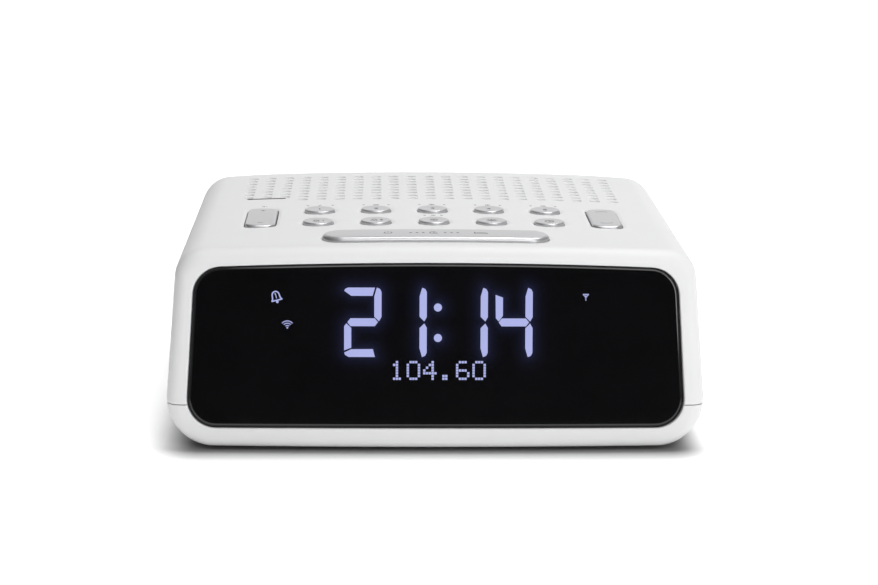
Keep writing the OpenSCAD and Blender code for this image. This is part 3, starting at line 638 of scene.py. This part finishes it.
WAVES = bend(0, -0.6, 0.5, 0.2, 40, 140) + bend(0, -0.6, 1.0, 0.2, 40, 140) + bend(0, -0.6, 1.5, 0.2, 40, 140)
WAVES += disc(0, -0.6, 0.2)
MINUS = path([(-0.9, 0), (0.9, 0)], 0.26)
PLUS = MINUS + path([(0, 0.13), (0, 0.9)], 0.26) + path([(0, -0.9), (0, -0.13)], 0.26)
AERIAL = path([(-0.9, 0.9), (0.9, 0.9), (0, -0.1), (-0.9, 0.9)], 0.24) + path([(0, 0.9), (0, -1.1)], 0.24)
HORN = [[(-0.9, -0.35), (-0.4, -0.35), (0.2, -0.8), (0.2, 0.8), (-0.4, 0.35), (-0.9, 0.35)]]
LOUD = HORN + bend(0.3, 0, 0.7, 0.2, -50, 50)


def area(p):
    """Twice the signed area of a polygon."""
    return sum(a[0] * b[1] - b[0] * a[1] for a, b in zip(p, p[1:] + p[:1]))


def prisms(name, polys, low, high):
    """Thin closed prisms over flat polygons; low and high map a point to its two ends."""
    points, faces = [], []
    for p in polys:
        p = p if area(p) > 0 else p[::-1]
        n, base = len(p), len(points)
        points += [low(x, y) for x, y in p] + [high(x, y) for x, y in p]
        faces.append(tuple(base + i for i in range(n))[::-1])
        faces.append(tuple(base + n + i for i in range(n)))
        faces += [(base + i, base + (i + 1) % n, base + n + (i + 1) % n, base + n + i) for i in range(n)]
    return outward(mesh(name, points, faces))


# The seven segments in millimetres from a digit's top left corner, with mitred ends.
SEGMENTS = {
    "a": [(0, -0.95), (0.35, -0.35), (1.2, 0), (9.1, 0), (8.4, -2.45), (2.1, -2.45)],
    "b": [(9.65, 0), (10.6, -0.4), (11.04, -1.3), (11.04, -8.7), (10.3, -10.0), (8.9, -8.6), (8.9, -2.6)],
    "d": [(0, -19.3), (2.1, -18.3), (8.5, -18.25), (9.1, -20.6), (1.3, -20.6), (0.3, -20.0)],
    "e": [(0, -11.5), (0.65, -10.6), (2.1, -12.0), (2.1, -17.85), (0, -18.65)],
    "f": [(0, -2.1), (2.2, -2.9), (2.2, -8.3), (0.95, -10.0), (0.1, -9.0)],
    "g": [(0.95, -10.25), (1.85, -9.1), (9.05, -9.1), (10.0, -10.25), (9.05, -11.45), (1.85, -11.45)],
}
SEGMENTS["c"] = [(x, -20.6 - y) for x, y in SEGMENTS["b"]]
CELLS = [(-27.4, "abged"), (-14.0, "bc"), (4.1, "bc"), (17.4, "fgbc")]
CELL_TOP = 49.56

lit = []
for x, on in CELLS:
    lit += moved([SEGMENTS[s] for s in on], x, CELL_TOP)
lit += disc(0.33, 43.7, 1.2, 24) + disc(0.36, 34.65, 1.2, 24)

MATRIX = {
    "0": ("01110", "10001", "10001", "10001", "10001", "10001", "01110"),
    "1": ("00100", "01100", "00100", "00100", "00100", "00100", "01110"),
    "4": ("00010", "00110", "01010", "10010", "11111", "00010", "00010"),
    "6": ("01110", "10000", "10000", "11110", "10001", "10001", "01110"),
    ".": ("00000", "00000", "00000", "00000", "00000", "01100", "01100"),
}
DOT, DOT_HALF, CHAR_PITCH = 0.826, 0.34, 4.876
MATRIX_X, MATRIX_TOP = -13.4, 27.45
small = []
for k, char in enumerate("104.60"):
    for r, row in enumerate(MATRIX[char]):
        for c, bit in enumerate(row):
            if bit == "1":
                x, v, h = MATRIX_X + k * CHAR_PITCH + c * DOT, MATRIX_TOP - r * DOT, DOT_HALF
                small.append([(x - h, v - h), (x + h, v - h), (x + h, v + h), (x - h, v + h)])
icons = moved(BELL, -47.6, 47.1, 1.9, 14) + moved(DIGITS["1"], -47.6, 47.0, 0.95, 14)
icons += moved(WAVES, -44.2, 38.4, 1.35)
icons += moved(AERIAL, 44.25, 46.8, 0.95)


def pane_prisms(name, polys):
    """Lit shapes standing a little proud of the window's face."""
    return prisms(name, polys, lambda x, v: on_face(x, v, 1.012), lambda x, v: on_face(x, v, 0.975))


digits = pane_prisms("lit_digits", lit)
HALO_REACH = 1.5
halo = pane.data.attributes.new("halo", "FLOAT", "POINT")  # glow of the window round the digits
sides = [(Vector(a), Vector(b)) for p in lit for a, b in zip(p, p[1:] + p[:1])]
for vert in pane.data.vertices:
    x, v = vert.co.x / MM, (vert.co.z / MM) / COS_L
    if abs(x) < 36 and 23 < v < 55 and vert.co.y / MM < on_face(x, v, 2.0)[1]:
        near = min(edge_distance(Vector((x, v)), a, b) for a, b in sides)
        halo.data[vert.index].value = math.exp(-near / HALO_REACH)
dots = pane_prisms("lit_dots", small)
symbols = pane_prisms("lit_symbols", icons)


def arrowed(polys, x, y, gap, k):
    """A mark with a small arrow on each side of it."""
    return moved(ARROW_L, x - gap, y, 0.9) + moved(polys, x, y, k) + moved(ARROW_R, x + gap, y, 0.9)


def on_top(x, y, h):
    """Point h above the case's top."""
    return (x, y, top_z(x, y) + h)


MARK_Y = 3.9
top_marks = []
for x, polys in zip(KEY_X, (NOTE, LIST, WAVES, RING, CLOCK)):
    top_marks += arrowed(polys, x, MARK_Y, 4.0, 0.95)
top_marks += arrowed(RING, 0, (ROW_REAR + ROW_FRONT) / 2, 2.6, 0.8) + moved(LOUD, -ROCKER_X, 4.2, 0.85)
case_marks = prisms("case_marks", top_marks, lambda x, y: on_top(x, y, -0.02), lambda x, y: on_top(x, y, 0.025))


def key_marks(name, node, polys, k):
    """Marks that follow the dish in a round key's top."""
    x0, y0 = KEY_PLACES[node]
    z = top_z(x0, y0) + KEY_PROUD

    def dished(x, y, h):
        r = math.hypot(x - x0, y - y0)
        return (x, y, z - KEY_DISH + 0.1 * min(1.0, (r / 3.6)) ** 1.5 + h)

    polys = moved(polys, x0, y0, k)
    return prisms(name, polys, lambda x, y: dished(x, y, -0.03), lambda x, y: dished(x, y, 0.03))


MARKS = {"preset_key_" + digit: (DIGITS[digit], 1.15) for digit in "12345"}
MARKS["alarm_key_1"] = (moved(BELL, -0.5, 0.15) + moved(DIGITS["1"], 1.3, 0.1, 0.7), 1.2)
MARKS["alarm_key_2"] = (moved(BELL, -0.5, 0.15) + moved(DIGITS["2"], 1.35, 0.1, 0.7), 1.2)
MARKS.update(select_key=(RING, 1.4), brightness_key=(SUN, 1.7), clock_key=(CLOCK, 1.55))
marks = {node: key_marks(node.replace("_key", "_mark"), node, polys, k) for node, (polys, k) in MARKS.items()}

bar = moved(POWER, -14.4, 0, 1.45) + moved(MOON, -0.6, 0, 1.45) + moved(BED, 13.6, 0, 1.7)
for x in (-7.6, -5.7, -3.8, 2.8, 4.7, 6.6):
    bar += disc(x, 0, 0.42)


def on_bar(x, y, h):
    """Point h above the snooze bar's top."""
    return (x, SNOOZE_Y + y, SNOOZE_TOP - x * x / (2 * CROWN) + h)


bar_marks = prisms("snooze_marks", bar, lambda x, y: on_bar(x, y, -0.03), lambda x, y: on_bar(x, y, 0.02))


def rocker_marks(name, s, polys):
    """Marks that follow the bow of a rocker's top."""
    z = top_z(ROCKER_X, ROCKER_Y) + ROCKER_PROUD - 0.01

    def lifted(x, y, h):
        return (s * ROCKER_X + x, ROCKER_Y + y, z - ROCKER_BOW * (2 * y / ROCKER_L) ** 2 + h)

    return prisms(name, polys, lambda x, y: lifted(x, y, -0.03), lambda x, y: lifted(x, y, 0.03))


volume_marks = rocker_marks("volume_marks", -1, moved(PLUS, 0, 9.4, 0.9) + moved(MINUS, 0, -9.4, 0.9))
arcs = bend(0, 6.2, 3.0, 0.24, 50, 130) + bend(0, -6.2, 3.0, 0.24, 230, 310)
tuning_marks = rocker_marks("tuning_marks", 1, arcs)


# ---------- materials ----------


def material(name, color, rough, metal=0.0, grain=(2500.0, 0.00002, 0.5), vary=0.04, rough_vary=0.06,
             spec=0.5, coat=0.0, glow=None, stretch=(1, 1, 1)):
    """Procedural surface: fine grain in the bump and the roughness, slow drift in the colour."""
    m = bpy.data.materials.new(name)
    m.use_nodes = True
    nt = m.node_tree
    nt.nodes.clear()
    new = nt.nodes.new
    out, bsdf = new("ShaderNodeOutputMaterial"), new("ShaderNodeBsdfPrincipled")
    where, spread = new("ShaderNodeTexCoord"), new("ShaderNodeMapping")
    spread.inputs["Scale"].default_value = stretch
    nt.links.new(where.outputs["Object"], spread.inputs["Vector"])
    slow, fine = new("ShaderNodeTexNoise"), new("ShaderNodeTexNoise")
    slow.inputs["Scale"].default_value = 60.0
    slow.inputs["Detail"].default_value = 4.0
    fine.inputs["Scale"].default_value = grain[0]
    fine.inputs["Detail"].default_value = 3.0
    nt.links.new(where.outputs["Object"], slow.inputs["Vector"])
    nt.links.new(spread.outputs["Vector"], fine.inputs["Vector"])
    ramp = new("ShaderNodeValToRGB")
    ramp.color_ramp.elements[0].position, ramp.color_ramp.elements[1].position = 0.3, 0.7
    ramp.color_ramp.elements[0].color = tuple(c * (1 - vary) for c in color) + (1,)
    ramp.color_ramp.elements[1].color = tuple(min(1, c * (1 + vary)) for c in color) + (1,)
    nt.links.new(slow.outputs["Fac"], ramp.inputs["Fac"])
    nt.links.new(ramp.outputs["Color"], bsdf.inputs["Base Color"])
    spans = new("ShaderNodeMapRange")
    spans.inputs["To Min"].default_value = max(0.02, rough - rough_vary)
    spans.inputs["To Max"].default_value = min(1.0, rough + rough_vary)
    nt.links.new(fine.outputs["Fac"], spans.inputs["Value"])
    nt.links.new(spans.outputs["Result"], bsdf.inputs["Roughness"])
    bump = new("ShaderNodeBump")
    bump.inputs["Distance"].default_value = grain[1]
    bump.inputs["Strength"].default_value = grain[2]
    nt.links.new(fine.outputs["Fac"], bump.inputs["Height"])
    nt.links.new(bump.outputs["Normal"], bsdf.inputs["Normal"])
    bsdf.inputs["Metallic"].default_value = metal
    bsdf.inputs["Specular IOR Level"].default_value = spec
    bsdf.inputs["Coat Weight"].default_value = coat
    bsdf.inputs["Coat Roughness"].default_value = 0.08
    if glow:
        lit_ramp = new("ShaderNodeValToRGB")
        lit_ramp.color_ramp.elements[0].color = tuple(c * 0.93 for c in glow[0]) + (1,)
        lit_ramp.color_ramp.elements[1].color = tuple(glow[0]) + (1,)
        nt.links.new(slow.outputs["Fac"], lit_ramp.inputs["Fac"])
        nt.links.new(lit_ramp.outputs["Color"], bsdf.inputs["Emission Color"])
        bsdf.inputs["Emission Strength"].default_value = glow[1]
    nt.links.new(bsdf.outputs["BSDF"], out.inputs["Surface"])
    return m


def add_halo(mat, strength):
    """Faint blue glow that follows the mesh's halo attribute."""
    nt = mat.node_tree
    amount, scale = nt.nodes.new("ShaderNodeAttribute"), nt.nodes.new("ShaderNodeMath")
    amount.attribute_name = "halo"
    scale.operation, scale.inputs[1].default_value = "MULTIPLY", strength
    nt.links.new(amount.outputs["Fac"], scale.inputs[0])
    skin = next(n for n in nt.nodes if n.type == "BSDF_PRINCIPLED")
    skin.inputs["Emission Color"].default_value = (0.28, 0.32, 1.0, 1)
    nt.links.new(scale.outputs["Value"], skin.inputs["Emission Strength"])


WHITE = material("case_white", (0.73, 0.73, 0.735), 0.46, grain=(1500, 0.00003, 0.35), vary=0.006,
                 rough_vary=0.05, spec=0.4)
BLACK = material("window_black", (0.0035, 0.0035, 0.004), 0.07, grain=(300, 0.000004, 0.08), vary=0.1,
                 rough_vary=0.015)
add_halo(BLACK, 0.035)
SILVER = material("key_silver", (0.57, 0.57, 0.58), 0.38, metal=0.8, grain=(4200, 0.00001, 0.3), vary=0.02)
# Painted shade: matte black for the insert that stands in for the slot's shadowed far wall.
SLOT_PAINTED_SHADE = material("slot_painted_shade", (0.01, 0.01, 0.01), 0.9, vary=0.2, spec=0.02)
PRINT = material("mark_grey", (0.16, 0.16, 0.165), 0.6, grain=(3000, 0.00001, 0.3), vary=0.08)
KEY_PRINT = material("key_mark_grey", (0.12, 0.12, 0.125), 0.6, grain=(3000, 0.00001, 0.3), vary=0.08)
LIT = material("lit_lavender", (0.05, 0.05, 0.07), 0.5, grain=(2000, 0.00001, 0.2), vary=0.05,
               glow=((0.42, 0.46, 0.86), 0.84))
SLOTS = {
    "carrier_plastic": dict(color=(0.75, 0.75, 0.73), rough=0.5),
    "lcd_glass": dict(color=(0.01, 0.01, 0.014), rough=0.12, grain=(500, 0.000005, 0.1)),
    "guide_clear": dict(color=(0.82, 0.84, 0.9), rough=0.2, grain=(900, 0.00001, 0.3)),
    "circuit_board": dict(color=(0.02, 0.16, 0.07), rough=0.36, grain=(900, 0.00003, 0.4), vary=0.12, coat=0.3),
    "steel": dict(color=(0.5, 0.5, 0.51), rough=0.34, metal=1.0, grain=(1400, 0.00002, 0.5), stretch=(1, 1, 6)),
    "switch_black": dict(color=(0.025, 0.025, 0.026), rough=0.5),
    "speaker_metal": dict(color=(0.03, 0.03, 0.032), rough=0.42, metal=0.3, grain=(1800, 0.00003, 0.5)),
    "magnet_ferrite": dict(color=(0.07, 0.07, 0.072), rough=0.6, metal=0.4, grain=(1200, 0.00006, 0.7),
                           vary=0.15),
    "cone_paper": dict(color=(0.02, 0.02, 0.021), rough=0.85, grain=(1600, 0.0001, 0.8), vary=0.2),
    "rubber_black": dict(color=(0.018, 0.018, 0.019), rough=0.78, grain=(1300, 0.00005, 0.6), vary=0.15),
    "foam_black": dict(color=(0.02, 0.02, 0.02), rough=0.95, grain=(900, 0.0002, 1.0), vary=0.25),
    "scrim_cloth": dict(color=(0.012, 0.012, 0.012), rough=0.95, grain=(2600, 0.0002, 1.0), vary=0.3),
    "socket_black": dict(color=(0.022, 0.022, 0.023), rough=0.38, grain=(1600, 0.00002, 0.4)),
    "shield_tin": dict(color=(0.62, 0.62, 0.6), rough=0.26, metal=1.0, grain=(700, 0.00003, 0.4)),
    "chip_black": dict(color=(0.016, 0.016, 0.017), rough=0.56, grain=(2400, 0.00003, 0.5)),
    "capacitor_sleeve": dict(color=(0.015, 0.02, 0.09), rough=0.28, grain=(1100, 0.00001, 0.3)),
    "connector_cream": dict(color=(0.68, 0.63, 0.5), rough=0.45),
    "ribbon_grey": dict(color=(0.42, 0.42, 0.4), rough=0.5, stretch=(14, 1, 1), grain=(400, 0.0001, 0.6)),
    "lead_red": dict(color=(0.35, 0.015, 0.012), rough=0.35),
    "label_paper": dict(color=(0.5, 0.5, 0.5), rough=0.5, metal=0.2, grain=(1800, 0.00001, 0.3)),
}
made = {name: material(name, **values) for name, values in SLOTS.items()}


def dress(obj, mat):
    """Gives an object one material."""
    obj.data.materials.clear()
    obj.data.materials.append(mat)
    return obj


# ---------- hand the pieces to the frame ----------


def put(obj, mat, body, slot, *nodes):
    """Dresses a piece, rides it on its body and hides the CAD nodes it stands for; the slot is not used."""
    dress(obj, mat)
    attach(obj, body)
    if nodes:
        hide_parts(*nodes)


put(upper, WHITE, "case", "case_white", "top_housing")
put(lower, WHITE, "case", "case_white", "bottom_housing")
put(pane, BLACK, "case", "window_black", "display_window")
for node, obj in keys.items():
    put(obj, SILVER, node, "key_silver", node)
    put(marks[node], KEY_PRINT, node, None)
put(snooze_cap, SILVER, "snooze_bar", "key_silver", "snooze_bar")
put(bar_marks, KEY_PRINT, "snooze_bar", None)
for node, obj in rockers.items():
    put(obj, SILVER, node, "key_silver", node)
put(volume_marks, KEY_PRINT, "volume_rocker", None)
put(tuning_marks, KEY_PRINT, "tuning_rocker", None)
put(slot_shade_piece, SLOT_PAINTED_SHADE, "case", None)
put(case_marks, PRINT, "case", None)
for obj in (digits, dots, symbols):
    put(obj, LIT, "case", None)

slots = {part["node"]: part["material_slot"] for part in frame["record"]["subparts"]}
for node, obj in frame["nodes"].items():
    if slots[node] in SLOTS:
        dress(obj, made[slots[node]])


# ---------- floor, light and camera ----------


CORE_HALF = (0.070, 0.062, 0.0)


def floor_paint():
    """Pale floor: a painted shadow darkens its colour close to the object, and it glows further out, as painted
    light round that shadow and as an even white far off.
    """
    m = material("floor_painted_shadow_and_glow", (0.93, 0.93, 0.93), 0.8, grain=(40, 0.0001, 0.1), vary=0.004, spec=0.0,
                 glow=((1, 1, 1), 0.0))
    nt = m.node_tree
    bsdf = next(n for n in nt.nodes if n.type == "BSDF_PRINCIPLED")

    def ease(source, low, high, a, b):
        """Smooth change from a to b as the source goes from low to high."""
        span = nt.nodes.new("ShaderNodeMapRange")
        span.interpolation_type = "SMOOTHSTEP"
        for key, value in (("From Min", low), ("From Max", high), ("To Min", a), ("To Max", b)):
            span.inputs[key].default_value = value
        nt.links.new(source, span.inputs["Value"])
        return span.outputs["Result"]

    def vector(kind, source, value=None):
        """Output of one vector operation."""
        step = nt.nodes.new("ShaderNodeVectorMath")
        step.operation = kind
        nt.links.new(source, step.inputs[0])
        if value:
            step.inputs[1].default_value = value
        return step.outputs["Value" if kind == "LENGTH" else "Vector"]

    here = nt.nodes.new("ShaderNodeTexCoord").outputs["Object"]
    # The gap is how far a point is outside a rectangle just smaller than the case's base, in metres.
    past = vector("SUBTRACT", vector("ABSOLUTE", here), CORE_HALF)
    gap = vector("LENGTH", vector("MAXIMUM", past, (0.0, 0.0, 0.0)))
    # Painted light: the floor glows from just outside the case's outline, lighting it round the shadow, and
    # glows more far off so that it renders white.
    total = nt.nodes.new("ShaderNodeMath")
    nt.links.new(ease(gap, 0.002, 0.018, 0.0, 0.5), total.inputs[0])
    nt.links.new(ease(gap, 0.08, 1.3, 0.0, 0.6), total.inputs[1])
    nt.links.new(total.outputs["Value"], bsdf.inputs["Emission Strength"])
    tone = nt.nodes.new("ShaderNodeMix")
    tone.data_type, tone.blend_type = "RGBA", "MULTIPLY"
    old = bsdf.inputs["Base Color"].links[0].from_socket
    shade = nt.nodes.new("ShaderNodeCombineColor")
    # Painted shadow: the floor's colour is darkened to 30% under the case and rises to its full value about 20
    # mm outside a rectangle just smaller than its base.
    painted_shadow = ease(gap, 0.0, 0.02, 0.3, 1.0)
    for k in range(3):
        nt.links.new(painted_shadow, shade.inputs[k])
    tone.inputs[0].default_value = 1.0
    nt.links.new(old, tone.inputs[6])
    nt.links.new(shade.outputs["Color"], tone.inputs[7])
    nt.links.new(tone.outputs[2], bsdf.inputs["Base Color"])
    return m


def sheet(name, corners, mat):
    """Flat four-cornered backdrop."""
    obj = mesh(name, corners, [(0, 1, 2, 3)])
    return dress(obj, mat)


FLOOR_HALF = 6000
CAMERA_AT, CAMERA_TURN, CAMERA_LENS = (-0.01830, -0.67864, 0.19473), (76.5980, -0.5072, -1.6324), 88.155


def stage():
    """Floor, dark cards for the reflections, lights and camera."""
    h = FLOOR_HALF
    floor = sheet("floor", [(-h, -h, 0), (h, -h, 0), (h, h, 0), (-h, h, 0)], floor_paint())
    dark = material("card_black", (0.002, 0.002, 0.002), 0.9, spec=0.0, vary=0.2)
    front = [(-520, -1500, 5), (520, -1500, 5), (520, -1540, 420), (-520, -1540, 420)]
    left = [(-500, -500, 10), (-500, 600, 10), (-500, 600, 420), (-500, -500, 420)]
    card, side = sheet("dark_card", front, dark), sheet("side_card", left, dark)
    card.visible_camera = side.visible_camera = False
    world = bpy.data.worlds.new("studio")
    world.use_nodes = True
    world.node_tree.nodes["Background"].inputs["Color"].default_value = (1, 1, 1, 1)
    world.node_tree.nodes["Background"].inputs["Strength"].default_value = 0.22
    bpy.context.scene.world = world

    def soft_box(name, place, aim, size, power):
        """Rectangular area light turned towards a point."""
        light = bpy.data.lights.new(name, "AREA")
        light.shape, light.size, light.size_y, light.energy = "RECTANGLE", size[0], size[1], power
        obj = bpy.data.objects.new(name, light)
        obj.location = place
        obj.rotation_mode = "QUATERNION"
        obj.rotation_quaternion = (Vector(aim) - Vector(place)).to_track_quat("-Z", "Y")
        obj.visible_camera = False
        bpy.context.scene.collection.objects.link(obj)

    soft_box("key", (0.24, 0.12, 1.05), (0, 0, 0), (0.6, 0.6), 7.6)
    soft_box("front_right", (0.72, -1.22, 0.32), (0, 0, 0.03), (0.4, 0.4), 2.6)
    soft_box("front_top", (0.3, -1.15, 0.95), (0, 0, 0.03), (1.2, 0.7), 7.4)
    soft_box("back", (0, 2.0, 0.6), (0, 0, 0.05), (2.6, 0.9), 6.8)

    cam = bpy.data.cameras.new("camera")
    cam.sensor_width, cam.lens = 36.0, CAMERA_LENS
    cam.clip_start, cam.clip_end = 0.01, 50
    obj = bpy.data.objects.new("camera", cam)
    turn = Euler([math.radians(a) for a in CAMERA_TURN])
    obj.matrix_world = Matrix.Translation(CAMERA_AT) @ turn.to_matrix().to_4x4()
    bpy.context.scene.collection.objects.link(obj)
    bpy.context.scene.camera = obj
    bpy.context.scene.view_settings.view_transform = "Standard"


stage()
